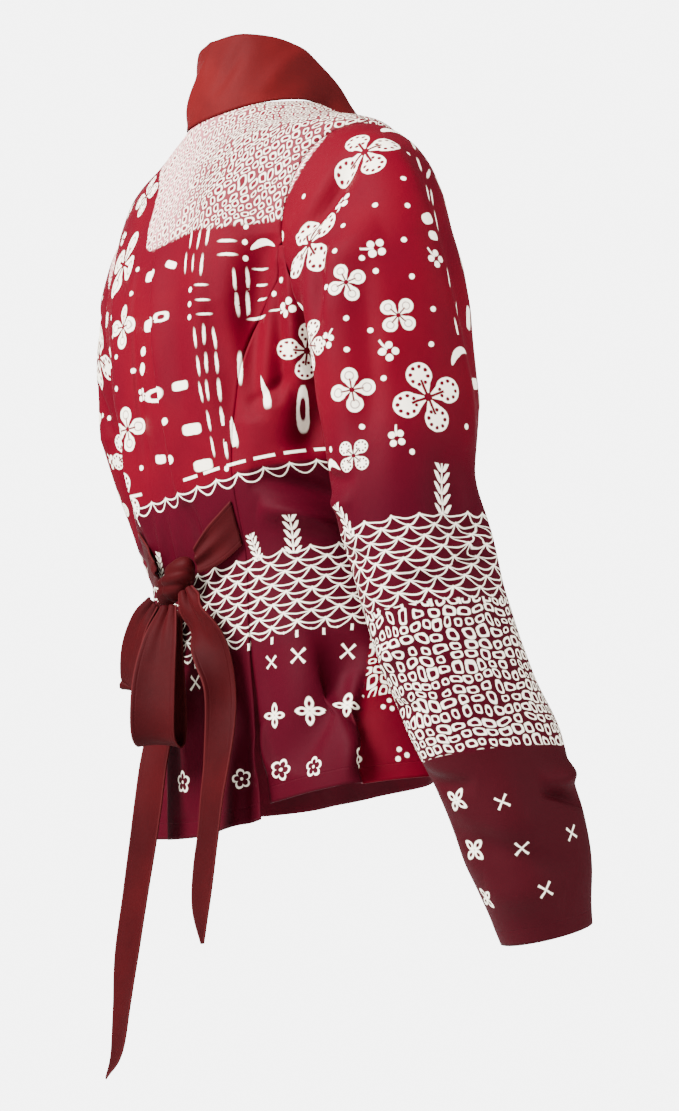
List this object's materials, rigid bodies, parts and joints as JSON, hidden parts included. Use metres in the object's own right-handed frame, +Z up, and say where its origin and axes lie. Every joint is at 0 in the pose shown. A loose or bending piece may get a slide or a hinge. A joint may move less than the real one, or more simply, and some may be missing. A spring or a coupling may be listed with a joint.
{
  "type": "kebaya blouse",
  "caption": "Long-sleeved, fitted kebaya blouse in worn shape, with a tall standing collar, a flared peplum and a bow tied at the back of the waist.",
  "frame": {"origin": "middle of the neck opening, level with the inner ends of the shoulder seams, where the wearer carries it", "axes": "+Z up, +Y out of the wearer's back, +X to the wearer's left"},
  "size_m": [0.5107, 0.4353, 0.805],
  "materials": {
    "batik_cotton": "matte satin",
    "collar_cotton": "matte",
    "tie_cotton": "matte"
  },
  "bodies": {
    "root": {"back_left": "batik_cotton", "back_centre": "batik_cotton", "back_right": "batik_cotton", "front_left": "batik_cotton", "front_right": "batik_cotton", "sleeve_left": "batik_cotton", "sleeve_right": "batik_cotton", "collar": "collar_cotton", "tie_strap_left": "tie_cotton", "tie_strap_right": "tie_cotton", "tie_knot": "tie_cotton", "tie_loop_left": "tie_cotton", "tie_loop_right": "tie_cotton", "tie_tail_left": "tie_cotton", "tie_tail_right": "tie_cotton"}
  },
  "joints": []
}
